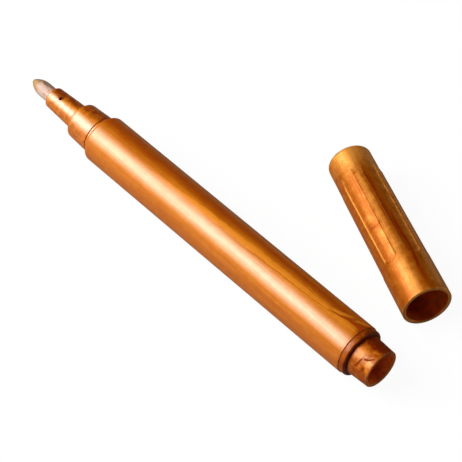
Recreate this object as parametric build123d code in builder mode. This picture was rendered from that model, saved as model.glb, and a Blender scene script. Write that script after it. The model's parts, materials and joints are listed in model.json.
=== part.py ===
from build123d import *
import os
from math import cos, pi, radians, sin, sqrt, tan

# A valve-action paint marker with its cap off, as both lie on a table. Millimetres, +Z up, nib towards -X.
# Stations along the pen are counted from the barrel's front face, and grow towards the rear.
# Stations along the cap are counted from its closed end, and grow towards its mouth.

# Fits
seat_gap = 0.02  # radial room of a pressed or seated piece
slide_gap = 0.08  # radial room of a piece that slides in a bore

# Barrel
barrel_diameter = 13.0
girth = barrel_diameter / 13.0  # the sizes across the pen that follow the barrel's are given for 13 mm
barrel_length = 91.2
barrel_wall = 1.0
barrel_front_wall = 1.5 * girth  # round the nose section's plug
barrel_front_round = 0.9
barrel_rear_round = 0.15

# Nib
nib_diameter = 4.16 * girth
nib_reach = 8.3  # out of the nose section
nib_ogive_radius = 6.7
nib_tip_radius = 0.7
nib_travel = 1.5
nib_end_room = 0.5  # left behind the nib when it is pressed right in

# Nose section
nose_tube_length = 11.2
nose_tip_wall = 0.74 * girth
nose_root_wall = 1.34 * girth
nose_tip_round = 0.35
vent_diameter = 1.1
vent_setback = 4.0  # from the nose section's front face
vent_angle = 12.6  # from straight up, towards -Y
cone_length = 8.5
cone_taper = 0.42  # growth of its radius
cone_front_round = 0.6
flange_inset = 1.0 * girth  # from the barrel's outside
flange_rise = 0.17  # over the cone's rear end
flange_thickness = 0.8
flange_round = 0.15
groove_width = 0.35
groove_depth = 0.3
plug_length = 9.0
plug_wall = 1.1 * girth

# Valve
valve_end_wall = 1.2
valve_side_wall = 0.8 * girth
valve_flange_width = 0.7
valve_flange_thickness = 1.2
seat_hole_diameter = 2.3
gasket_thickness = 0.8
stem_diameter = 1.6
stem_tail_diameter = 1.4
stem_tail_reach = 0.6  # past the retainer's front face
head_thickness = 1.2
head_inset = 0.4  # from the valve body's bore
spring_length = 7.5
spring_wire = 0.4
spring_turns = 6
spring_room = 0.35  # between the stem's tail and the wire
retainer_thickness = 1.5
retainer_hole_diameter = 0.9
retainer_hole_count = 4

# Mixing ball
ball_diameter = 6.0
ball_station = 55.0
ball_room = 0.1  # under it

# Rear plug
collar_inset = 0.22  # from the barrel's outside
collar_thickness = 1.7
collar_round = 0.55
spigot_inset = 1.2  # from the barrel's outside, at its root
spigot_taper = 0.3  # loss of radius
spigot_length = 6.0
spigot_rim_wall = 0.8
spigot_rim_round = 0.2
socket_floor = 1.2
skirt_length = 7.7
skirt_wall = 1.0
skirt_relief = 0.2  # between the sealing beads
bead_width = 1.0
bead_lead = 0.3  # length of each bead's slopes
bead_setback = 1.2  # of each bead from its end of the skirt

# Cap
cap_length = 49.8
cap_mouth_wall = 0.94
cap_draft = 0.35  # degrees on the radius
cap_end_round = 1.1
cap_end_wall = 1.5
cap_end_inset = 0.02  # of the closed end's side from the panels' floor
cap_mouth_round = 0.25
cap_fit_gap = 0.05  # radial, on the rear end of the nose section's cone
cap_land_length = 12.0
panel_count = 6
panel_depth = 0.26
panel_phase = 44.0  # of the first panel from straight up, towards -Y
panel_start = 7.2
panel_ramp = 2.4  # length of the ribs' run-out
panel_end = 37.5
panel_width = 3.8
panel_taper = 0.55  # loss of width towards the mouth
panel_end_flat = 0.5  # straight stretch between the rounds of a panel's end
panel_wall_run = 0.38  # width of the slope between a panel's floor and a rib
panel_wall_reach = 1.5  # of the slope's cut, in depths of a panel

# Cap liner
liner_setback = 0.5  # from the cap's land
liner_gap = 0.05  # radial, on the nib tube where its mouth closes on it
liner_wall_share = 0.5  # of the room between its bore and the cap's land
liner_floor = 1.0

# Where the cap lies beside the pen
cap_rest_station = 47.3
cap_rest_offset = 40.9
cap_rest_turn = 23.0  # degrees, mouth towards the pen

# Radii
barrel_r = barrel_diameter / 2
paint_r = barrel_r - barrel_wall
front_bore_r = barrel_r - barrel_front_wall
nib_r = nib_diameter / 2
nib_bore_r = nib_r + slide_gap
nose_tip_r = nib_bore_r + nose_tip_wall
nose_root_r = nib_bore_r + nose_root_wall
flange_r = barrel_r - flange_inset
cone_rear_r = flange_r - flange_rise
cone_front_r = cone_rear_r - cone_taper
plug_r = front_bore_r - seat_gap
chamber_r = plug_r - plug_wall
valve_r = chamber_r - seat_gap
valve_bore_r = valve_r - valve_side_wall
seat_hole_r = seat_hole_diameter / 2
stem_r = stem_diameter / 2
stem_tail_r = stem_tail_diameter / 2
head_r = valve_bore_r - head_inset
coil_r = stem_tail_r + spring_room + spring_wire / 2
ball_r = ball_diameter / 2
collar_r = barrel_r - collar_inset
spigot_root_r = barrel_r - spigot_inset
spigot_rim_r = spigot_root_r - spigot_taper
socket_r = spigot_rim_r - spigot_rim_wall
skirt_r = paint_r - seat_gap
cap_bore_r = cone_rear_r + cap_fit_gap
cap_mouth_r = cap_bore_r + cap_mouth_wall

# Stations along the pen
nose_root = -cone_length
nose_front = nose_root - nose_tube_length
nib_tip = nose_front - nib_reach
nib_tail = 0.0
chamber_front = nib_tail + nib_travel + nib_end_room
seat = chamber_front + valve_end_wall
head_front = seat + gasket_thickness
spring_front = head_front + head_thickness
retainer_front = spring_front + spring_length
valve_rear = retainer_front + retainer_thickness
collar_rear = barrel_length + collar_thickness
pen_rear = collar_rear + spigot_length

# Liner, whose mouth closes on the nib tube when the cap is on
land_end = cap_length - cap_land_length
liner_end = land_end - liner_setback
sealed_share = (liner_end - cap_length - nose_front) / nose_tube_length
liner_bore_r = nose_tip_r + (nose_root_r - nose_tip_r) * sealed_share + liner_gap
liner_r = liner_bore_r + liner_wall_share * (cap_bore_r - liner_bore_r)
cap_liner_bore_r = liner_r + seat_gap


def cap_radius(station):
    """Outside radius of the cap's ribs and mouth at a station, from its draft."""
    return cap_mouth_r - (cap_length - station) * tan(radians(cap_draft))


def floor_radius(station):
    """Radius of the cap's panel floors at a station."""
    return cap_radius(station) - panel_depth


# The pen and the cap share one table, with the middle of their common outline over the origin
cap_end_r = floor_radius(0) - cap_end_inset
turn = radians(cap_rest_turn)
cap_far_side = (
    cap_rest_offset - cap_end_round * sin(turn) + (cap_end_r - cap_end_round) * cos(turn) + cap_end_round
)
pen_x = -(nib_tip + pen_rear) / 2
pen_y = (barrel_r - cap_far_side) / 2

# Both planes hold an axis as their x and straight up as their y, so a sketch there is a half section
pen = Plane(origin=(pen_x, pen_y, barrel_r), x_dir=(1, 0, 0), z_dir=(0, -1, 0))
cap_run = Vector(cos(turn), -sin(turn), tan(radians(cap_draft)))
cap_side = Vector(-sin(turn), -cos(turn), 0)
cap = Plane(
    origin=(pen_x + cap_rest_station, pen_y + cap_rest_offset, cap_radius(0)), x_dir=cap_run, z_dir=cap_side
)
pen_axis = Axis(pen.origin, pen.x_dir)
cap_axis = Axis(cap.origin, cap.x_dir)


def section(plane, *corners):
    """Half section of a turned piece.

    Each corner is a station, a radius and, where the corner is rounded, its rounding.
    """
    points = [corner[:2] for corner in corners]
    rounds = [corner[2] if len(corner) > 2 else 0 for corner in corners]
    with BuildSketch(plane) as half:
        with BuildLine():
            FilletPolyline(*points, radius=rounds, close=True)
        make_face()
    return half.sketch


def radial_plane(plane, angle):
    """Plane through an axis that faces outwards at an angle in degrees from straight up."""
    outward = plane.y_dir * cos(radians(angle)) + plane.z_dir * sin(radians(angle))
    return Plane(origin=plane.origin, x_dir=plane.x_dir, z_dir=outward)


# Barrel: a shell, narrower inside where it holds the nose section's plug
with BuildPart() as barrel:
    revolve(
        section(
            pen,
            (0, front_bore_r),
            (0, barrel_r, barrel_front_round),
            (barrel_length, barrel_r, barrel_rear_round),
            (barrel_length, paint_r),
            (plug_length, paint_r),
            (plug_length, front_bore_r),
        ),
        axis=pen_axis,
    )

# Nose section: nib tube, cone, flange that seats on the barrel's face, and plug with the valve's chamber
with BuildPart() as nose_section:
    flange_front = -flange_thickness
    groove_front = flange_front - groove_width
    groove_r = cone_rear_r - groove_depth
    step_round = min(cone_front_round, (cone_front_r - nose_root_r) / 2)
    revolve(
        section(
            pen,
            (nose_front, nib_bore_r),
            (nose_front, nose_tip_r, nose_tip_round),
            (nose_root, nose_root_r),
            (nose_root, cone_front_r, step_round),
            (groove_front, cone_rear_r),
            (groove_front, groove_r),
            (flange_front, groove_r),
            (flange_front, flange_r, flange_round),
            (0, flange_r, flange_round),
            (0, plug_r),
            (plug_length, plug_r),
            (plug_length, chamber_r),
            (chamber_front, chamber_r),
            (chamber_front, nib_bore_r),
        ),
        axis=pen_axis,
    )
    with BuildSketch(radial_plane(pen, vent_angle)):
        with Locations((nose_front + vent_setback, 0)):
            Circle(vent_diameter / 2)
    extrude(amount=nose_root_r, mode=Mode.SUBTRACT)

# Nib: a fibre rod whose ogive runs into a round tip
with BuildPart() as nib:
    ogive_run = sqrt((nib_ogive_radius - nib_tip_radius) ** 2 - (nib_ogive_radius - nib_r) ** 2)
    tip_share = nib_tip_radius / (nib_ogive_radius - nib_tip_radius)
    shoulder = (nib_tip + nib_tip_radius + ogive_run, nib_r)
    join = (nib_tip + nib_tip_radius - ogive_run * tip_share, (nib_ogive_radius - nib_r) * tip_share)
    with BuildSketch(pen):
        with BuildLine():
            Polyline((nib_tip, 0), (nib_tail, 0), (nib_tail, nib_r), shoulder)
            TangentArc(shoulder, join, tangent=(-1, 0))
            TangentArc((nib_tip, 0), join, tangent=(0, 1))
        make_face()
    revolve(axis=pen_axis)

# Valve body: a cup in the nose section's chamber, with a flange on the plug's end
with BuildPart() as valve_body:
    revolve(
        section(
            pen,
            (chamber_front, seat_hole_r),
            (chamber_front, valve_r),
            (plug_length, valve_r),
            (plug_length, valve_r + valve_flange_width),
            (plug_length + valve_flange_thickness, valve_r + valve_flange_width),
            (plug_length + valve_flange_thickness, valve_r),
            (valve_rear, valve_r),
            (valve_rear, valve_bore_r),
            (seat, valve_bore_r),
            (seat, seat_hole_r),
        ),
        axis=pen_axis,
    )

# Valve gasket: a ring on the seat
with BuildPart() as valve_gasket:
    revolve(
        section(
            pen,
            (seat, seat_hole_r),
            (seat, valve_bore_r - seat_gap),
            (head_front, valve_bore_r - seat_gap),
            (head_front, seat_hole_r),
        ),
        axis=pen_axis,
    )

# Valve stem: the nib pushes its rod, its head shuts on the gasket and its tail guides the spring
with BuildPart() as valve_stem:
    revolve(
        section(
            pen,
            (nib_tail, 0),
            (nib_tail, stem_r),
            (head_front, stem_r),
            (head_front, head_r),
            (spring_front, head_r),
            (spring_front, stem_tail_r),
            (retainer_front + stem_tail_reach, stem_tail_r),
            (retainer_front + stem_tail_reach, 0),
        ),
        axis=pen_axis,
    )

# Valve spring: each half turn of the coil is two tangent arcs
coil_front = spring_front + spring_wire / 2
half_turns = 2 * spring_turns
half_lead = (spring_length - spring_wire) / half_turns


def coil_point(step):
    """Point of the coil's centre line after a number of half turns."""
    across = pen.y_dir * cos(pi * step) + pen.z_dir * sin(pi * step)
    return pen.origin + pen.x_dir * (coil_front + half_lead * step) + across * coil_r


def coil_heading(step):
    """Direction of the coil's centre line after a number of half turns."""
    along = pen.z_dir * cos(pi * step) - pen.y_dir * sin(pi * step)
    return (pen.x_dir * half_lead / pi + along * coil_r).normalized()


with BuildPart() as valve_spring:
    with BuildLine() as coil:
        for step in range(half_turns):
            start, end = coil_point(step), coil_point(step + 1)
            leaving, arriving = coil_heading(step), coil_heading(step + 1)
            chord, both = end - start, leaving + arriving
            square = 4 - both.dot(both)
            reach = (sqrt(chord.dot(both) ** 2 + square * chord.dot(chord)) - chord.dot(both)) / square
            middle = (start + end + (leaving - arriving) * reach) * 0.5
            TangentArc(start, middle, tangent=leaving)
            TangentArc(middle, end, tangent=end - arriving * reach - middle)
    with BuildSketch(Plane(origin=coil.line @ 0, z_dir=coil.line % 0)):
        Circle(spring_wire / 2)
    sweep(path=coil.line)

coil_samples = [coil_point(step / 16) for step in range(16 * half_turns + 1)]
coil_gap = min(
    (here - there).length - spring_wire
    for number, here in enumerate(coil_samples)
    for there in coil_samples[number + 16 :]
)
print(f"valve spring: least gap between turns {coil_gap:.2f} mm")

# Valve retainer: a disc with a hole for the stem's tail and holes that let the paint in
with BuildPart() as valve_retainer:
    retainer_r = valve_bore_r - seat_gap
    guide_r = stem_tail_r + slide_gap
    revolve(
        section(
            pen,
            (retainer_front, guide_r),
            (retainer_front, retainer_r),
            (valve_rear, retainer_r),
            (valve_rear, guide_r),
        ),
        axis=pen_axis,
    )
    with BuildSketch(Plane(origin=pen.origin + pen.x_dir * retainer_front, z_dir=pen.x_dir)):
        with PolarLocations((guide_r + retainer_r) / 2, retainer_hole_count):
            Circle(retainer_hole_diameter / 2)
    extrude(amount=retainer_thickness, mode=Mode.SUBTRACT)

# Mixing ball: lies on the barrel's inner wall
with BuildPart() as mixing_ball:
    with Locations(pen.from_local_coords((ball_station, ball_r + ball_room - paint_r))):
        Sphere(ball_r)

# Rear plug: skirt with two sealing beads, collar that seats on the barrel's end, and hollow spigot
with BuildPart() as rear_plug:
    skirt_front = barrel_length - skirt_length
    relief_r = skirt_r - skirt_relief
    front_bead = skirt_front + bead_setback
    rear_bead = barrel_length - bead_setback - bead_width
    revolve(
        section(
            pen,
            (skirt_front, relief_r - skirt_wall),
            (skirt_front, relief_r),
            (front_bead, relief_r),
            (front_bead + bead_lead, skirt_r),
            (front_bead + bead_width - bead_lead, skirt_r),
            (front_bead + bead_width, relief_r),
            (rear_bead, relief_r),
            (rear_bead + bead_lead, skirt_r),
            (rear_bead + bead_width - bead_lead, skirt_r),
            (rear_bead + bead_width, relief_r),
            (barrel_length, relief_r),
            (barrel_length, collar_r),
            (collar_rear, collar_r, collar_round),
            (collar_rear, spigot_root_r),
            (pen_rear, spigot_rim_r, spigot_rim_round),
            (pen_rear, socket_r, spigot_rim_round),
            (barrel_length, socket_r),
            (barrel_length, 0),
            (barrel_length - socket_floor, 0),
            (barrel_length - socket_floor, relief_r - skirt_wall),
        ),
        axis=pen_axis,
    )

# Panel cutter: its floor is at the radius of the cap's closed end, and its walls slope out to the ribs
with BuildPart() as panel_cutter:
    with BuildSketch(radial_plane(cap, panel_phase)):
        with BuildLine():
            half_start = panel_width / 2 + panel_wall_run
            half_end = half_start - panel_taper / 2
            cut_end = panel_end + panel_wall_run
            cut_round = half_end - panel_end_flat / 2
            FilletPolyline(
                (0, half_start),
                (cut_end, half_end),
                (cut_end, -half_end),
                (0, -half_start),
                radius=[0, cut_round, cut_round, 0],
                close=True,
            )
        make_face()
    extrude(amount=2 * cap_mouth_r)
    revolve(
        section(
            cap, (0, 0), (0, floor_radius(0)), (cap_length, floor_radius(cap_length)), (cap_length, 0)
        ),
        axis=cap_axis,
        mode=Mode.SUBTRACT,
    )
    panel_floor = panel_cutter.faces().filter_by(GeomType.CONE)[0]
    foot = panel_floor.edges().filter_by(lambda edge: cap.to_local_coords(edge.center()).X > panel_ramp)
    chamfer(foot, panel_wall_reach * panel_wall_run, panel_wall_reach * panel_depth, reference=panel_floor)

# Cap: a drafted shell with panels sunk between ribs that run to the mouth
with BuildPart() as cap_shell:
    rib_start = panel_start + panel_ramp
    revolve(
        section(
            cap,
            (0, 0),
            (0, cap_end_r, cap_end_round),
            (panel_start, floor_radius(panel_start) - cap_end_inset, panel_ramp),
            (rib_start, cap_radius(rib_start), panel_ramp),
            (cap_length, cap_mouth_r, cap_mouth_round),
            (cap_length, cap_bore_r, cap_mouth_round),
            (land_end, cap_bore_r),
            (land_end, cap_liner_bore_r),
            (cap_end_wall, cap_liner_bore_r),
            (cap_end_wall, 0),
        ),
        axis=cap_axis,
    )
    for number in range(panel_count):
        add(panel_cutter.part.rotate(cap_axis, number * 360 / panel_count), mode=Mode.SUBTRACT)

# Cap liner: a soft cup whose mouth closes round the nib tube
with BuildPart() as cap_liner:
    revolve(
        section(
            cap,
            (cap_end_wall, 0),
            (cap_end_wall, liner_r),
            (liner_end, liner_r),
            (liner_end, liner_bore_r),
            (cap_end_wall + liner_floor, liner_bore_r),
            (cap_end_wall + liner_floor, 0),
        ),
        axis=cap_axis,
    )

os.makedirs("parts", exist_ok=True)
pieces = {
    "barrel": barrel,
    "nose_section": nose_section,
    "nib": nib,
    "valve_body": valve_body,
    "valve_gasket": valve_gasket,
    "valve_stem": valve_stem,
    "valve_spring": valve_spring,
    "valve_retainer": valve_retainer,
    "mixing_ball": mixing_ball,
    "rear_plug": rear_plug,
    "cap_shell": cap_shell,
    "cap_liner": cap_liner,
}
for name, piece in pieces.items():
    piece.part.label = name
    export_step(piece.part, f"parts/{name}.step")
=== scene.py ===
"""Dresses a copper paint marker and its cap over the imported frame, under plain studio light."""

import json
import logging
import math
from dataclasses import dataclass
from enum import Enum
from typing import Any, Optional, Union

import bpy
from mathutils import Matrix, Vector


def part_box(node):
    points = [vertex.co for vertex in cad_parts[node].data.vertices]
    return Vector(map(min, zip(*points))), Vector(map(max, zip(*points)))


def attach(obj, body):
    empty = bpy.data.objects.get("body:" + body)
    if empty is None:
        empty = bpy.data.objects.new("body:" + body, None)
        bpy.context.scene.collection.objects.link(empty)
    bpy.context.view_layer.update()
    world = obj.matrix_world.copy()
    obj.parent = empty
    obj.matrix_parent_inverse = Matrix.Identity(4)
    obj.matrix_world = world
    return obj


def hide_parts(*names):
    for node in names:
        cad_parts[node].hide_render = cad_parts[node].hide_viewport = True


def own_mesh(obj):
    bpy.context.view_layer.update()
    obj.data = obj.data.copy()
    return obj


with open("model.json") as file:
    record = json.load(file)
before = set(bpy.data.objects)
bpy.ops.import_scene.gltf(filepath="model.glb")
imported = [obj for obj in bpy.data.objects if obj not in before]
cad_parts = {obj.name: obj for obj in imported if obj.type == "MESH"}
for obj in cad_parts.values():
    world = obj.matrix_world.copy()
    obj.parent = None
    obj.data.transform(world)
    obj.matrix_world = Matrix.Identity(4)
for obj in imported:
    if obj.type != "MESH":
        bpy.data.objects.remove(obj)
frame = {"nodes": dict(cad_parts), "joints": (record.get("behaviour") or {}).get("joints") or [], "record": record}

LOG = logging.getLogger("marker")
MM = 0.001
MIDDLE = 0.5  # of a noise, of a random value and of a finish's tone
PHOTO_WIDTH_PX = 462

Triple = tuple[float, float, float]
Colour = Triple
Span = tuple[float, float]
Scalar = Union[float, "Value"]

WHITE: Colour = (1.0, 1.0, 1.0)
BLACK: Colour = (0.0, 0.0, 0.0)


class Maths(Enum):
    """Operations of a Math node that the finishes use."""

    ADD = "ADD"
    SUBTRACT = "SUBTRACT"
    MULTIPLY = "MULTIPLY"
    DIVIDE = "DIVIDE"
    POWER = "POWER"
    MINIMUM = "MINIMUM"
    SINE = "SINE"
    SQUARE_ROOT = "SQRT"
    ARC_TANGENT = "ARCTAN2"


class Value:
    """A shader socket that takes part in Python expressions."""

    def __init__(self, sheet: "Sheet", socket: bpy.types.NodeSocket) -> None:
        """Keeps the socket and the sheet that new nodes go on."""
        self.sheet = sheet
        self.socket = socket

    def pick(self, output: Union[int, str]) -> "Value":
        """Another output of the node that this value comes from."""
        return Value(self.sheet, self.socket.node.outputs[output])

    def __add__(self, other: Scalar) -> "Value":
        """Sum."""
        return self.sheet.maths(Maths.ADD, self, other)

    def __radd__(self, other: float) -> "Value":
        """Sum, with the number first."""
        return self.sheet.maths(Maths.ADD, other, self)

    def __sub__(self, other: Scalar) -> "Value":
        """Difference."""
        return self.sheet.maths(Maths.SUBTRACT, self, other)

    def __rsub__(self, other: float) -> "Value":
        """Difference, with the number first."""
        return self.sheet.maths(Maths.SUBTRACT, other, self)

    def __mul__(self, other: Scalar) -> "Value":
        """Product."""
        return self.sheet.maths(Maths.MULTIPLY, self, other)

    def __rmul__(self, other: float) -> "Value":
        """Product, with the number first."""
        return self.sheet.maths(Maths.MULTIPLY, other, self)

    def __truediv__(self, other: Scalar) -> "Value":
        """Quotient."""
        return self.sheet.maths(Maths.DIVIDE, self, other)

    def __rpow__(self, other: float) -> "Value":
        """A number raised to this value."""
        return self.sheet.maths(Maths.POWER, other, self)

    def __neg__(self) -> "Value":
        """This value with its sign changed."""
        return self.sheet.maths(Maths.MULTIPLY, self, -1.0)

    def bell(self, width: float) -> "Value":
        """One where this value is zero, fading to nothing within about twice the width."""
        share = self / width
        return math.e ** (-(share * share))

    def step(self, low: float, high: float) -> "Value":
        """A smooth step.

        Args:
            low: where the step is zero.
            high: where it is one. It falls where this is below low.

        Returns:
            The step at this value.
        """
        settings = {"interpolation_type": "SMOOTHSTEP"}
        ends = (low, high, 0.0, 1.0) if low < high else (high, low, 1.0, 0.0)
        names = ("From Min", "From Max", "To Min", "To Max")
        return self.sheet.node("ShaderNodeMapRange", settings, {"Value": self, **dict(zip(names, ends))})


class Sheet:
    """The node tree of one material or lamp."""

    MIX_FIRST, MIX_SECOND, MIX_RESULT = 6, 7, 2  # sockets of a Mix node that mixes colours

    def __init__(self, owner: Union[bpy.types.Material, bpy.types.Light]) -> None:
        """Empties the owner's node tree.

        Args:
            owner: the material or lamp.
        """
        self.owner = owner
        owner.use_nodes = True
        self.tree = owner.node_tree
        self.tree.nodes.clear()

    @classmethod
    def of_material(cls, name: str) -> "Sheet":
        """The sheet of a new material."""
        return cls(bpy.data.materials.new(name))

    def node(self, kind: str, settings: Optional[dict[str, Any]] = None,
             inputs: Optional[dict[Union[int, str], Any]] = None) -> Value:
        """Adds a node.

        Args:
            kind: the node's type.
            settings: its properties, and the stops of its ramp under the name stops.
            inputs: values, or links, of its sockets by name or number.

        Returns:
            The node's first output.
        """
        made = self.tree.nodes.new(kind)
        for name, setting in (settings or {}).items():
            if name == "stops":
                self._set_stops(made.color_ramp, setting)
            else:
                setattr(made, name, setting)
        for name, given in (inputs or {}).items():
            if isinstance(given, Value):
                self.tree.links.new(given.socket, made.inputs[name])
            else:
                made.inputs[name].default_value = given
        return Value(self, made.outputs[0]) if made.outputs else Value(self, made.inputs[0])

    @staticmethod
    def _set_stops(ramp: bpy.types.ColorRamp, stops: list[tuple[float, Colour]]) -> None:
        """Sets a ramp's stops.

        Args:
            ramp: the ramp.
            stops: a place and a colour for each stop.
        """
        while len(ramp.elements) < len(stops):
            ramp.elements.new(1.0)
        for element, (place, colour) in zip(ramp.elements, stops):
            element.position = place
            element.color = (*colour, 1.0)

    def maths(self, operation: Maths, first: Scalar, second: Scalar = 0.0) -> Value:
        """The result of one Math node."""
        return self.node("ShaderNodeMath", {"operation": operation.value}, {0: first, 1: second})

    def place(self) -> Value:
        """The surface's place in its piece."""
        return self.node("ShaderNodeTexCoord").pick("Object")

    def dot(self, vector: Value, direction: Vector) -> Value:
        """Length of a vector along a direction."""
        settings = {"operation": "DOT_PRODUCT"}
        return self.node("ShaderNodeVectorMath", settings, {0: vector, 1: direction}).pick("Value")

    def vector(self, x: Scalar, y: Scalar, z: Scalar) -> Value:
        """A vector from three values."""
        return self.node("ShaderNodeCombineXYZ", None, {"X": x, "Y": y, "Z": z})

    def noise(self, place: Value, scale: float, detail: float = 2.0, rough: float = 0.5) -> Value:
        """Noise between about zero and one."""
        sockets = {"Vector": place, "Scale": scale, "Detail": detail, "Roughness": rough}
        return self.node("ShaderNodeTexNoise", None, sockets)

    def split(self, colour: Value) -> Value:
        """The red part of a colour, whose node also gives the green and the blue one."""
        return self.node("ShaderNodeSeparateColor", None, {"Color": colour})

    def mix(self, share: Scalar, first: Union[Colour, Value], second: Union[Colour, Value]) -> Value:
        """A colour between two others.

        Args:
            share: how much of the second colour there is.
            first: the first colour.
            second: the second colour.

        Returns:
            The mixed colour.
        """
        ends = [end if isinstance(end, Value) else (*end, 1.0) for end in (first, second)]
        sockets = {"Factor": share, self.MIX_FIRST: ends[0], self.MIX_SECOND: ends[1]}
        return self.node("ShaderNodeMix", {"data_type": "RGBA"}, sockets).pick(self.MIX_RESULT)

    def bump(self, height: Value, depth: float) -> Value:
        """A bumped normal from a height between zero and one that stands for a depth in metres."""
        return self.node("ShaderNodeBump", None, {"Height": height, "Distance": depth, "Strength": 1.0})

    def principled(self, sockets: dict[str, Any]) -> Value:
        """A Principled shader with these sockets."""
        return self.node("ShaderNodeBsdfPrincipled", None, sockets)

    def surface(self, shader: Value) -> bpy.types.Material:
        """Ends the sheet with a shader on the surface and gives its material."""
        self.node("ShaderNodeOutputMaterial", None, {"Surface": shader})
        return self.owner


@dataclass(frozen=True)
class TurnedAxis:
    """Axis of a turned piece, which gives a shader stations, angles and radii on it."""

    origin: Vector
    run: Vector

    @property
    def side(self) -> Vector:
        """Level direction across the axis, towards -Y."""
        return self.run.cross(Vector((0, 0, 1))).normalized()

    @property
    def up(self) -> Vector:
        """Direction across the axis that is nearest to straight up."""
        return self.side.cross(self.run).normalized()

    def station(self, sheet: Sheet) -> Value:
        """Millimetres along the axis from its origin."""
        return sheet.dot(self._arm(sheet), self.run) / MM

    def angle(self, sheet: Sheet) -> Value:
        """Degrees round the axis from straight up, towards -Y."""
        across, rise = self._across(sheet)
        return sheet.maths(Maths.ARC_TANGENT, across, rise) * math.degrees(1.0)

    def radius(self, sheet: Sheet) -> Value:
        """Millimetres from the axis."""
        across, rise = self._across(sheet)
        return sheet.maths(Maths.SQUARE_ROOT, across * across + rise * rise) / MM

    def _arm(self, sheet: Sheet) -> Value:
        """Vector from the origin to the surface."""
        return sheet.node("ShaderNodeVectorMath", {"operation": "SUBTRACT"}, {0: sheet.place(), 1: self.origin})

    def _across(self, sheet: Sheet) -> tuple[Value, Value]:
        """How far the surface lies to the side of the axis and above it."""
        arm = self._arm(sheet)
        return sheet.dot(arm, self.side), sheet.dot(arm, self.up)


@dataclass(frozen=True)
class FlowAndPaintedLightBand:
    """A helix that fades at its ends and is lighter or darker than the rest: a mark where flows of plastic met, and in
    places a band of painted shade or a painted highlight.

    Stations are in millimetres along the piece and angles in degrees round it.
    """

    start: float
    end: float
    angle: float
    lead: float
    width: float
    tone: float
    sway: float = 0.0
    sway_length: float = 3.0
    fade: float = 4.0

    def change(self, station: Value, angle: Value) -> Value:
        """How far the mark moves the tone.

        Args:
            station: place along the piece.
            angle: place round the piece.

        Returns:
            The change, which is none away from the mark.
        """
        along = station - self.start
        off = angle - along * self.lead - self.angle
        if self.sway:
            turns = along * (2 * math.pi / self.sway_length)
            off = off - station.sheet.maths(Maths.SINE, turns) * self.sway
        ends = station.step(self.start - self.fade, self.start + self.fade)
        ends = ends * station.step(self.end + self.fade, self.end - self.fade)
        return off.bell(self.width) * ends * self.tone


@dataclass(frozen=True)
class Blotch:
    """A patch that moves the tone, placed as a flow line is: lighter or darker plastic or paint on it, and in places
    painted shade or a painted highlight.
    """

    station: float
    angle: float
    length: float
    width: float
    tone: float

    def change(self, station: Value, angle: Value) -> Value:
        """How far the patch moves the tone at a place along and round the piece."""
        return (station - self.station).bell(self.length) * (angle - self.angle).bell(self.width) * self.tone


Marks = tuple[Union[FlowAndPaintedLightBand, Blotch], ...]


def mount(name: str) -> dict[str, Any]:
    """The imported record's mount of that name."""
    return next(m for m in frame["record"]["mounts"] if m["name"] == name)


@dataclass(frozen=True)
class Hollow:
    """A bore round an axis, from its floor towards higher stations, in millimetres."""

    axis: TurnedAxis
    radius: float
    floor: float
    wall_edge: Span = (0.07, 0.02)
    floor_edge: Span = (-0.4, -0.2)

    @classmethod
    def of_mount(cls, name: str, axis: TurnedAxis) -> "Hollow":
        """The hollow of a bore's mount.

        Args:
            name: the mount's name.
            axis: the axis that it lies on.

        Returns:
            The hollow.
        """
        bore = mount(name)
        middle = (Vector(bore["pos_m"]) - axis.origin).dot(axis.run) / MM
        return cls(axis, bore["dims"]["r_mm"], middle - bore["dims"]["length_mm"] / 2)

    def inside(self, sheet: Sheet) -> Value:
        """One on the hollow's wall and floor, and zero elsewhere.

        Args:
            sheet: the sheet of the piece's finish.

        Returns:
            The mask.
        """
        wall = self.axis.radius(sheet).step(*(self.radius + room for room in self.wall_edge))
        return wall * self.axis.station(sheet).step(*(self.floor + room for room in self.floor_edge))


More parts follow.
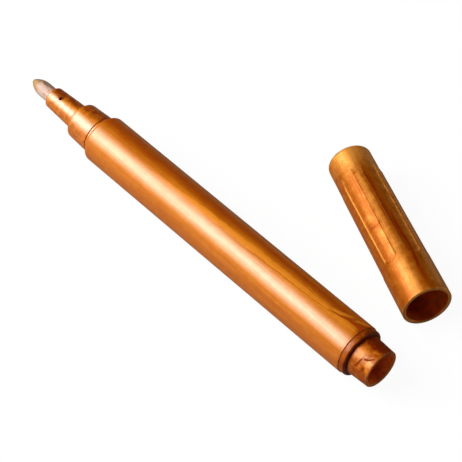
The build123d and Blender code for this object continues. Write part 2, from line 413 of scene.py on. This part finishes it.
@dataclass(frozen=True)
class CopperPearl:
    """Copper plastic with pearl flakes moulded in, drawn into streaks where it flowed.

    Its tone runs from deep over plain to pale. In its hollow it is painted redder in patches, which stands for light
    that passes through the plastic and bounces in the bore.
    """

    name: str
    axis: TurnedAxis
    marks: Marks = ()
    deep: Colour = (0.33, 0.024, 0.0002)
    plain: Colour = (0.48, 0.100, 0.0004)
    pale: Colour = (0.76, 0.22, 0.012)
    # painted glow: red, and the patches where it shows in the hollow, stand for light that passes through the plastic
    # and bounces in the bore
    red: Colour = (0.92, 0.19, 0.025)
    painted_glow_patches: Span = (0.76, 0.40)
    hollow: Optional[Hollow] = None
    flake_tint: Colour = (1.0, 0.62, 0.04)
    flake_ior: float = 2.05
    flake_share: float = 0.15
    flake_scale: float = 2600.0
    glint_share: float = 0.08
    glint_roughness: float = 0.05
    roughness: float = 0.55
    coat: float = 0.13
    coat_roughness: float = 0.19
    coat_ior: float = 4.0
    coat_follow: float = 1.4
    streak_share: float = 0.28
    streak_pitch: Span = (0.05, 0.21)
    streak_roughness: float = 0.15
    mottle_share: float = 0.2
    mottle_scale: float = 620.0
    swirl_scale: float = 210.0
    wander: Span = (1.6, 9.0)
    peel_scale: float = 300.0
    peel_streaks: float = 0.5
    peel_depth: float = 0.000006

    def material(self) -> bpy.types.Material:
        """Makes the finish.

        Returns:
            Its material.
        """
        sheet = Sheet.of_material(self.name)
        place = sheet.place()
        swirl = sheet.split(sheet.noise(place, self.swirl_scale, detail=3.0, rough=0.6).pick("Color"))
        station = self.axis.station(sheet) + (swirl - MIDDLE) * self.wander[0]
        angle = self.axis.angle(sheet) + (swirl.pick("Green") - MIDDLE) * self.wander[1]
        along, around = self.streak_pitch
        streaks = sheet.noise(sheet.vector(station * along, angle * around, 0.0), 1.0)
        mottle = sheet.noise(place, self.mottle_scale, detail=4.0, rough=0.65)
        flakes = sheet.node("ShaderNodeTexVoronoi", None, {"Vector": place, "Scale": self.flake_scale})
        glint = sheet.split(flakes.pick("Color"))
        tone = MIDDLE + (streaks - MIDDLE) * (2 * self.streak_share) + (mottle - MIDDLE) * (2 * self.mottle_share)
        tone = tone + (glint - MIDDLE) * self.glint_share
        # the marks move the tone: flow marks, and in places painted shade and painted highlights
        for mark in self.marks:
            tone = tone + mark.change(station, angle)
        stops = [(0.0, self.deep), (MIDDLE, self.plain), (1.0, self.pale)]
        colour = sheet.node("ShaderNodeValToRGB", {"stops": stops}, {"Fac": tone})
        # painted glow: the hollow's wall and floor turn red in patches, standing for light bounced inside the plastic
        if self.hollow:
            colour = sheet.mix(self.hollow.inside(sheet) * mottle.step(*self.painted_glow_patches), colour, self.red)
        peel = sheet.noise(place, self.peel_scale, detail=3.0) + streaks * self.peel_streaks
        roughness = self.roughness + (streaks - MIDDLE) * self.streak_roughness + glint * self.glint_roughness
        bsdf = sheet.principled({
            "Base Color": colour,
            "Metallic": self.flake_share,
            "Roughness": roughness,
            "IOR": self.flake_ior,
            "Specular Tint": (*self.flake_tint, 1.0),
            "Coat Weight": self.coat + (tone - MIDDLE) * (self.coat_follow * self.coat),
            "Coat Roughness": self.coat_roughness,
            "Coat IOR": self.coat_ior,
            "Normal": sheet.bump(peel, self.peel_depth),
        })
        return sheet.surface(bsdf)


@dataclass(frozen=True)
class StainedFibre:
    """Pressed fibre of the nib, stained by the paint that it carries: gold at its tip, and brown on its upper-right
    side, partly pooled paint and partly painted shade on the side away from the key lamp.
    """

    name: str
    axis: TurnedAxis
    tip_station: float
    clean: Colour = (0.52, 0.38, 0.31)
    salmon: Colour = (0.50, 0.23, 0.115)
    gold: Colour = (0.42, 0.24, 0.075)
    brown: Colour = (0.18, 0.075, 0.022)
    roughness: float = 0.62
    fibre_pitch: Span = (0.5, 0.06)
    fibre_depth: float = 0.00006
    patch_scale: float = 900.0
    soak_edge: Span = (0.44, 0.58)
    soak_share: float = 0.75
    soak_gloss: float = 0.2
    tip_edge: Span = (4.6, 1.4)
    tip_wander: float = 6.0
    tip_share: float = 0.9
    tip_flakes: float = 0.3
    pool_and_shade_edge: Span = (14.0, -22.0)
    pool_and_shade_wander: float = 80.0
    pool_and_shade_share: float = 0.65
    thread_edge: Span = (0.52, 0.68)
    thread_share: float = 0.4

    def material(self) -> bpy.types.Material:
        """Makes the finish.

        Returns:
            Its material.
        """
        sheet = Sheet.of_material(self.name)
        station, angle = self.axis.station(sheet), self.axis.angle(sheet)
        along, around = self.fibre_pitch
        fibres = sheet.noise(sheet.vector(station * along, angle * around, 0.0), 1.0, detail=4.0, rough=0.6)
        patch = sheet.noise(sheet.place(), self.patch_scale, detail=3.0, rough=0.6)
        tip = (station - self.tip_station + (patch - MIDDLE) * self.tip_wander).step(*self.tip_edge)
        # partly painted shade: brown on the upper-right side, away from the key lamp, which also stands for paint
        # pooled there
        pooled_paint_and_shade = (angle + (patch - MIDDLE) * self.pool_and_shade_wander).step(*self.pool_and_shade_edge)
        soaked = ((patch + fibres) / 2).step(*self.soak_edge)
        threads = fibres.step(*self.thread_edge)
        colour = sheet.mix(soaked * self.soak_share, self.clean, self.salmon)
        colour = sheet.mix(tip * self.tip_share, colour, self.gold)
        colour = sheet.mix(pooled_paint_and_shade * self.pool_and_shade_share + threads * self.thread_share, colour, self.brown)
        bsdf = sheet.principled({
            "Base Color": colour,
            "Roughness": self.roughness - soaked * self.soak_gloss,
            "Metallic": tip * self.tip_flakes,
            "Normal": sheet.bump(fibres, self.fibre_depth),
        })
        return sheet.surface(bsdf)


@dataclass(frozen=True)
class NaturalPlastic:
    """Unpigmented plastic of the valve and the cap's liner, slightly cloudy."""

    name: str
    clear: Colour = (0.80, 0.79, 0.74)
    cloudy: Colour = (0.70, 0.68, 0.61)
    cloud_scale: float = 260.0
    cloud_edge: Span = (0.35, 0.65)
    cloud_roughness: float = 0.12
    roughness: float = 0.42
    glow_share: float = 0.15
    glow_reach: Triple = (0.0006, 0.0005, 0.0004)
    grain_scale: float = 2400.0
    grain_depth: float = 0.000006

    def material(self) -> bpy.types.Material:
        """Makes the finish.

        Returns:
            Its material.
        """
        sheet = Sheet.of_material(self.name)
        place = sheet.place()
        cloud = sheet.noise(place, self.cloud_scale, detail=4.0, rough=0.6)
        bsdf = sheet.principled({
            "Base Color": sheet.mix(cloud.step(*self.cloud_edge), self.clear, self.cloudy),
            "Roughness": self.roughness + cloud * self.cloud_roughness,
            "Subsurface Weight": self.glow_share,
            "Subsurface Radius": self.glow_reach,
            "Normal": sheet.bump(sheet.noise(place, self.grain_scale), self.grain_depth),
        })
        return sheet.surface(bsdf)


@dataclass(frozen=True)
class GasketRubber:
    """Black rubber of the gasket, dusty in patches."""

    name: str
    black: Colour = (0.028, 0.028, 0.03)
    dusty: Colour = (0.06, 0.058, 0.055)
    dust_scale: float = 700.0
    dust_edge: Span = (0.45, 0.7)
    dust_roughness: float = 0.2
    roughness: float = 0.62
    grain_scale: float = 5000.0
    grain_depth: float = 0.00001

    def material(self) -> bpy.types.Material:
        """Makes the finish.

        Returns:
            Its material.
        """
        sheet = Sheet.of_material(self.name)
        place = sheet.place()
        dust = sheet.noise(place, self.dust_scale, detail=4.0, rough=0.65)
        bsdf = sheet.principled({
            "Base Color": sheet.mix(dust.step(*self.dust_edge), self.black, self.dusty),
            "Roughness": self.roughness + dust * self.dust_roughness,
            "Normal": sheet.bump(sheet.noise(place, self.grain_scale), self.grain_depth),
        })
        return sheet.surface(bsdf)


@dataclass(frozen=True)
class BrightSteel:
    """Drawn or ground steel with fine scratches and a film of paint in patches."""

    name: str
    clean: Colour = (0.62, 0.62, 0.64)
    filmed: Colour = (0.50, 0.36, 0.24)
    film_scale: float = 420.0
    film_edge: Span = (0.52, 0.72)
    film_share: float = 0.7
    film_roughness: float = 0.1
    roughness: float = 0.14
    scratch_stretch: Triple = (1.0, 9.0, 9.0)
    scratch_scale: float = 1800.0
    scratch_roughness: float = 0.15
    scratch_depth: float = 0.000002

    def material(self) -> bpy.types.Material:
        """Makes the finish.

        Returns:
            Its material.
        """
        sheet = Sheet.of_material(self.name)
        place = sheet.place()
        film = sheet.noise(place, self.film_scale, detail=4.0, rough=0.6)
        stretched = sheet.node("ShaderNodeMapping", None, {"Vector": place, "Scale": self.scratch_stretch})
        scratches = sheet.noise(stretched, self.scratch_scale)
        bsdf = sheet.principled({
            "Base Color": sheet.mix(film.step(*self.film_edge) * self.film_share, self.clean, self.filmed),
            "Metallic": 1.0,
            "Roughness": self.roughness + scratches * self.scratch_roughness + film * self.film_roughness,
            "Normal": sheet.bump(scratches, self.scratch_depth),
        })
        return sheet.surface(bsdf)


@dataclass(frozen=True)
class WhiteTable:
    """Pale table that shows white to the camera and in reflections, and keeps the object's shadow."""

    name: str
    paper: Colour = (0.24, 0.24, 0.24)
    white_share: float = 0.95
    reflected_share: float = 0.10
    roughness: float = 0.9
    grain_scale: float = 900.0
    grain_depth: float = 0.00001

    def material(self) -> bpy.types.Material:
        """Makes the finish.

        Returns:
            Its material.
        """
        sheet = Sheet.of_material(self.name)
        grain = sheet.noise(sheet.place(), self.grain_scale)
        rays = sheet.node("ShaderNodeLightPath")
        reflected = (rays.pick("Is Glossy Ray") + rays.pick("Is Transmission Ray")) * self.reflected_share
        share = rays.pick("Is Camera Ray") * self.white_share + reflected
        lit = sheet.principled({
            "Base Color": sheet.mix(rays.pick("Is Camera Ray"), self.paper, WHITE),
            "Roughness": self.roughness,
            "Normal": sheet.bump(grain, self.grain_depth),
        })
        white = sheet.node("ShaderNodeEmission", None, {"Color": (*WHITE, 1.0), "Strength": 1.0})
        share = sheet.maths(Maths.MINIMUM, share, 1.0)
        return sheet.surface(sheet.node("ShaderNodeMixShader", None, {0: share, 1: lit, 2: white}))


def dress(node: str, material: bpy.types.Material) -> None:
    """Gives a CAD node one material.

    Args:
        node: the node's name.
        material: its finish.
    """
    slots = frame["nodes"][node].data.materials
    slots.clear()
    slots.append(material)
    LOG.info("%s is dressed in %s", node, material.name)


@dataclass
class Pen:
    """Barrel, nose section, nib, valve, mixing ball and rear plug."""

    barrel_marks: Marks = (
        # painted shade: two darker bands along the barrel's upper-right side, away from the key lamp
        FlowAndPaintedLightBand(-9.0, 50.0, -15.0, 0.0, 15.0, -0.34, fade=9.0),
        FlowAndPaintedLightBand(50.0, 98.0, -19.0, -0.02, 9.0, -0.36, fade=12.0),
        FlowAndPaintedLightBand(28.0, 89.0, 10.0, -0.14, 8.5, 0.62, fade=14.0),
        FlowAndPaintedLightBand(53.0, 83.0, 15.4, -0.36, 1.6, -0.50),
        FlowAndPaintedLightBand(60.0, 80.0, 4.0, -0.10, 1.1, -0.34),
        FlowAndPaintedLightBand(22.0, 46.0, 12.0, -0.60, 1.6, -0.20),
        FlowAndPaintedLightBand(82.6, 87.2, -5.0, -3.9, 4.5, 0.85, fade=0.8),
        FlowAndPaintedLightBand(82.0, 87.2, 1.6, -2.3, 2.4, -0.90, fade=0.8),
        FlowAndPaintedLightBand(87.0, 91.0, -10.6, -0.2, 2.8, -0.90, fade=0.7),
        FlowAndPaintedLightBand(88.0, 90.6, -19.5, -5.7, 4.5, 0.80, fade=0.6),
        Blotch(90.9, -14.0, 0.7, 14.0, -0.80),
        Blotch(83.2, 14.0, 0.28, 30.0, -0.14),
        # painted shade: the barrel's rear end darker next to the plug's collar
        Blotch(91.2, 0.0, 0.8, 60.0, -0.34),
    )
    nose_marks: Marks = (
        Blotch(-15.8, 9.0, 0.9, 18.0, -0.70),
        # painted shade: darker patches on the nose's upper-right side, away from the key lamp
        Blotch(-18.0, -14.0, 2.5, 28.0, -0.55),
        Blotch(-12.5, -22.0, 4.0, 22.0, -0.50),
        Blotch(-3.0, -26.0, 5.0, 22.0, -0.45),
        FlowAndPaintedLightBand(-14.6, -6.0, 10.0, 0.9, 6.0, 0.34),
        # painted highlight: a paler band along the tube where the key lamp's highlight lies
        FlowAndPaintedLightBand(-19.0, -10.0, 36.0, 0.0, 13.0, 0.20, fade=2.0),
    )
    plug_marks: Marks = (
        FlowAndPaintedLightBand(95.2, 95.75, 59.0, -33.0, 7.0, -1.5, fade=0.25),
        FlowAndPaintedLightBand(96.2, 98.0, 36.0, -8.8, 2.6, -1.7, sway=4.0, sway_length=4.4, fade=0.4),
        Blotch(94.8, 28.0, 1.5, 17.0, 0.50),
        Blotch(97.7, 42.0, 0.8, 15.0, 0.60),
        Blotch(97.2, 60.0, 0.35, 7.0, -0.50),
        # painted shade: the spigot's right side darker, away from the key lamp
        Blotch(96.0, -24.0, 4.0, 26.0, -0.80),
        Blotch(97.4, 2.0, 1.0, 9.0, 0.30),
        Blotch(96.4, 84.0, 3.0, 18.0, -0.20),
        # painted shade: a darker band on the collar next to the barrel, and its end face and groove darker
        Blotch(92.0, 40.0, 0.8, 160.0, -0.16),
        Blotch(92.95, 30.0, 0.35, 400.0, -0.55),
        # painted highlight: a paler ring round the spigot's rim
        Blotch(98.9, 0.0, 0.25, 400.0, 0.25),
    )

    def axis(self) -> TurnedAxis:
        """The pen's axis.

        Returns:
            The axis, with stations from the barrel's front face.
        """
        grip = mount("barrel_grip")
        centre = Vector(grip["pos_m"])
        return TurnedAxis(Vector((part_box("barrel")[0].x, centre.y, centre.z)), Vector(grip["axis"]))

    def dress(self) -> None:
        """Dresses each piece of the pen."""
        axis = self.axis()
        dress("barrel", CopperPearl("barrel_copper", axis, self.barrel_marks).material())
        dress("nose_section", self._nose_finish(axis).material())
        dress("rear_plug", self._plug_finish(axis).material())
        tip_station = (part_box("nib")[0].x - axis.origin.x) / MM
        dress("nib", StainedFibre("nib_fibre", axis, tip_station).material())
        plastic = NaturalPlastic("valve_plastic").material()
        for node in ("valve_body", "valve_stem", "valve_retainer"):
            dress(node, plastic)
        dress("valve_gasket", GasketRubber("gasket_rubber").material())
        steel = BrightSteel("valve_steel").material()
        for node in ("valve_spring", "mixing_ball"):
            dress(node, steel)
        self._coil(steel)

    def _nose_finish(self, axis: TurnedAxis) -> CopperPearl:
        """The nose section's copper, glossier and more mottled than the barrel's.

        Args:
            axis: the pen's axis.

        Returns:
            The finish.
        """
        return CopperPearl(
            "nose_copper",
            axis,
            self.nose_marks,
            deep=(0.20, 0.013, 0.0002),
            coat=0.18,
            coat_follow=0.7,
            streak_share=0.2,
            mottle_share=0.85,
            mottle_scale=800.0,
            wander=(0.8, 9.0),
        )

    def _plug_finish(self, axis: TurnedAxis) -> CopperPearl:
        """The rear plug's copper, duller and darker than the barrel's.

        Args:
            axis: the pen's axis.

        Returns:
            The finish.
        """
        return CopperPearl(
            "plug_copper",
            axis,
            self.plug_marks,
            deep=(0.15, 0.008, 0.0001),
            plain=(0.385, 0.070, 0.0004),
            # painted glow: the rear socket is painted red in patches, standing for light bouncing inside the plastic
            hollow=Hollow.of_mount("rear_socket", axis),
            flake_ior=1.5,
            coat=0.05,
            coat_roughness=0.28,
            streak_share=0.14,
            mottle_share=0.7,
            mottle_scale=900.0,
            wander=(0.4, 4.0),
        )

    @staticmethod
    def _coil(steel: bpy.types.Material) -> None:
        """Lets a copy of the spring stand for it on the pen, in place of the hidden spring.

        Args:
            steel: the spring's finish.
        """
        coil = bpy.data.objects.new("valve_coil", frame["nodes"]["valve_spring"].data.copy())
        coil.data.materials.clear()
        coil.data.materials.append(steel)
        bpy.context.collection.objects.link(coil)
        front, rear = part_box("valve_spring")
        lift = next(joint for joint in frame["joints"] if joint["name"] == "valve_lift")
        kept_share = 1 - lift["range_m"][1] / (rear.x - front.x)
        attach(coil, "pen")
        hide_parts("valve_spring")
        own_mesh(coil)
        LOG.info("%s rides on the pen", coil.name)


@dataclass
class Cap:
    """Fluted shell and its soft liner."""

    marks: Marks = (
        Blotch(-17.6, 42.0, 0.5, 15.0, -0.48),
        Blotch(-20.4, 46.0, 1.8, 10.0, 0.26),
        Blotch(-14.0, 36.0, 3.0, 9.0, 0.26),
        # painted highlight: a bright line along the lit wall of the first panel
        FlowAndPaintedLightBand(-33.0, -7.6, 64.2, -0.106, 1.3, 0.85, fade=1.0),
        # painted shade: a dark line along the edge of the second panel
        FlowAndPaintedLightBand(-33.0, -7.6, -36.4, 0.106, 2.0, -0.45, fade=1.0),
        Blotch(-42.0, 0.0, 4.5, 80.0, 0.50),
        # painted highlight: a paler ring round the mouth's rim
        Blotch(6.1, 0.0, 0.4, 400.0, 0.50),
        # painted highlight: a paler patch where the highlight lies on the mouth section
        Blotch(0.0, 30.0, 6.0, 13.0, 0.20),
        FlowAndPaintedLightBand(-36.0, 4.0, -2.0, -0.15, 6.0, -0.30, fade=6.0),
        FlowAndPaintedLightBand(-20.0, 2.0, -12.0, 0.30, 3.0, -0.34, sway=3.0, sway_length=16.0),
        FlowAndPaintedLightBand(-30.0, -10.0, 8.0, -0.25, 2.0, -0.20),
        # painted light: a paler band on the shaded upper-right side, standing for light from behind
        FlowAndPaintedLightBand(-40.0, 5.0, -38.0, 0.0, 13.0, 0.42),
        # painted highlight: a paler band along the cap just above the lamp's highlight
        FlowAndPaintedLightBand(-46.0, 8.0, 19.0, 0.0, 8.0, 0.22),
        # painted shade: a slightly darker band below the highlight, on the lower-left side
        FlowAndPaintedLightBand(-36.0, 8.0, 54.0, 0.0, 12.0, -0.08),
    )

    def axis(self) -> TurnedAxis:
        """The cap's axis, with stations from the middle of its bore towards its mouth."""
        bore = mount("cap_bore")
        return TurnedAxis(Vector(bore["pos_m"]), Vector(bore["axis"]).normalized())

    def dress(self) -> None:
        """Dresses the shell and the liner."""
        axis = self.axis()
        finish = CopperPearl(
            "cap_copper",
            axis,
            self.marks,
            deep=(0.27, 0.019, 0.0002),
            plain=(0.385, 0.084, 0.0004),
            pale=(0.76, 0.28, 0.04),
            # painted glow: the red in the cap's bore stands for light bouncing inside the plastic
            red=(0.85, 0.13, 0.012),
            hollow=Hollow.of_mount("cap_bore", axis),
            flake_share=0.4,
            flake_ior=1.6,
            roughness=0.42,
            coat=0.03,
            coat_roughness=0.32,
            streak_share=0.2,
            mottle_share=0.36,
            mottle_scale=480.0,
            wander=(1.0, 2.5),
        )
        dress("cap_shell", finish.material())
        dress("cap_liner", NaturalPlastic("liner_plastic").material())


@dataclass(frozen=True)
class Softbox:
    """A rectangular lamp that faces the object and fades from its middle towards its short sides.

    Its direction is seen from the origin, its length lies as near to long_way as it can, lengths are in
    metres, the power is in watts before the fade, and the fade is a share of the length.
    """

    name: str
    direction: Vector
    long_way: Vector
    distance: float
    width: float
    length: float
    power: float
    fade: float

    def build(self) -> None:
        """Adds the lamp to the scene."""
        data = bpy.data.lights.new(self.name, "AREA")
        data.shape = "RECTANGLE"
        data.size, data.size_y = self.width, self.length
        data.energy = self.power
        self._glow(Sheet(data))
        facing = self.direction.normalized()
        across = self.long_way.cross(facing).normalized()
        turn = Matrix((across, facing.cross(across), facing)).transposed()
        lamp = bpy.data.objects.new(self.name, data)
        lamp.matrix_world = Matrix.Translation(facing * self.distance) @ turn.to_4x4()
        bpy.context.collection.objects.link(lamp)
        LOG.info("%s is lit", self.name)

    def _glow(self, sheet: Sheet) -> None:
        """Makes the lamp white in the middle of its length and darker towards its ends.

        Args:
            sheet: the lamp's node tree.
        """
        place = sheet.node("ShaderNodeNewGeometry").pick("Parametric")
        glow = (sheet.dot(place, Vector((0.0, 1.0, 0.0))) - MIDDLE).bell(self.fade)
        lit = sheet.node("ShaderNodeEmission", None, {"Color": sheet.mix(glow, BLACK, WHITE), "Strength": 1.0})
        sheet.node("ShaderNodeOutputLight", None, {"Surface": lit})


@dataclass
class Studio:
    """Table, lamps, world and camera. The camera's angles are in degrees and its other lengths in metres."""

    table_size: float = 6.0
    lamps: tuple[Softbox, ...] = (
        Softbox(
            "key_softbox",
            direction=Vector((-0.525, -0.550, 0.650)),
            long_way=Vector((0.052, 0.741, 0.669)),
            distance=0.78,
            width=0.58,
            length=1.4,
            power=29.8,
            fade=0.215,
        ),
        Softbox(
            "fill_softbox",
            direction=Vector((0.30, -0.85, 0.42)),
            long_way=Vector((0.0, 0.0, 1.0)),
            distance=0.9,
            width=0.5,
            length=0.5,
            power=1.3,
            fade=0.35,
        ),
        Softbox(
            "back_softbox",
            direction=Vector((0.55, 0.80, 0.25)),
            long_way=Vector((0.0, 0.0, 1.0)),
            distance=0.9,
            width=0.7,
            length=0.4,
            power=2.4,
            fade=0.4,
        ),
    )
    world_grey: float = 0.014
    camera_target: Vector = Vector((5.26, -12.94, 0.0)) * MM
    camera_azimuth: float = 47.396
    camera_elevation: float = 49.59
    camera_distance: float = 478.27 * MM
    camera_near: float = 0.01
    focal_px: float = 1928.6
    sensor_mm: float = 36.0

    def build(self) -> None:
        """Makes the stage, the lights and the camera."""
        self._table()
        for lamp in self.lamps:
            lamp.build()
        self._world()
        self._camera()
        bpy.context.scene.view_settings.view_transform = "Standard"

    def _table(self) -> None:
        """A wide flat table under the object."""
        half = self.table_size / 2
        corners = [(-half, -half, 0.0), (half, -half, 0.0), (half, half, 0.0), (-half, half, 0.0)]
        mesh = bpy.data.meshes.new("table")
        mesh.from_pydata(corners, [], [(0, 1, 2, 3)])
        mesh.materials.append(WhiteTable("table_white").material())
        table = bpy.data.objects.new("table", mesh)
        bpy.context.collection.objects.link(table)

    def _world(self) -> None:
        """An even grey room."""
        world = bpy.data.worlds.new("room")
        world.use_nodes = True
        background = world.node_tree.nodes["Background"]
        background.inputs["Color"].default_value = (self.world_grey, self.world_grey, self.world_grey, 1.0)
        bpy.context.scene.world = world

    def _camera(self) -> None:
        """A long lens at the photograph's place."""
        azimuth, elevation = math.radians(self.camera_azimuth), math.radians(self.camera_elevation)
        level = Vector((math.sin(azimuth), -math.cos(azimuth), 0.0)) * math.cos(elevation)
        back = level + Vector((0.0, 0.0, math.sin(elevation)))
        data = bpy.data.cameras.new("photo_camera")
        data.sensor_width = self.sensor_mm
        data.lens = self.sensor_mm * self.focal_px / PHOTO_WIDTH_PX
        data.clip_start = self.camera_near
        camera = bpy.data.objects.new("photo_camera", data)
        camera.location = self.camera_target + back * self.camera_distance
        camera.rotation_mode = "QUATERNION"
        camera.rotation_quaternion = (-back).to_track_quat("-Z", "Y")
        bpy.context.collection.objects.link(camera)
        bpy.context.scene.camera = camera


def main() -> None:
    """Builds the stage and dresses the object."""
    logging.basicConfig(level=logging.INFO, format="%(message)s")
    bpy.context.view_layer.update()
    Studio().build()
    Pen().dress()
    Cap().dress()


if __name__ == "__main__":
    main()
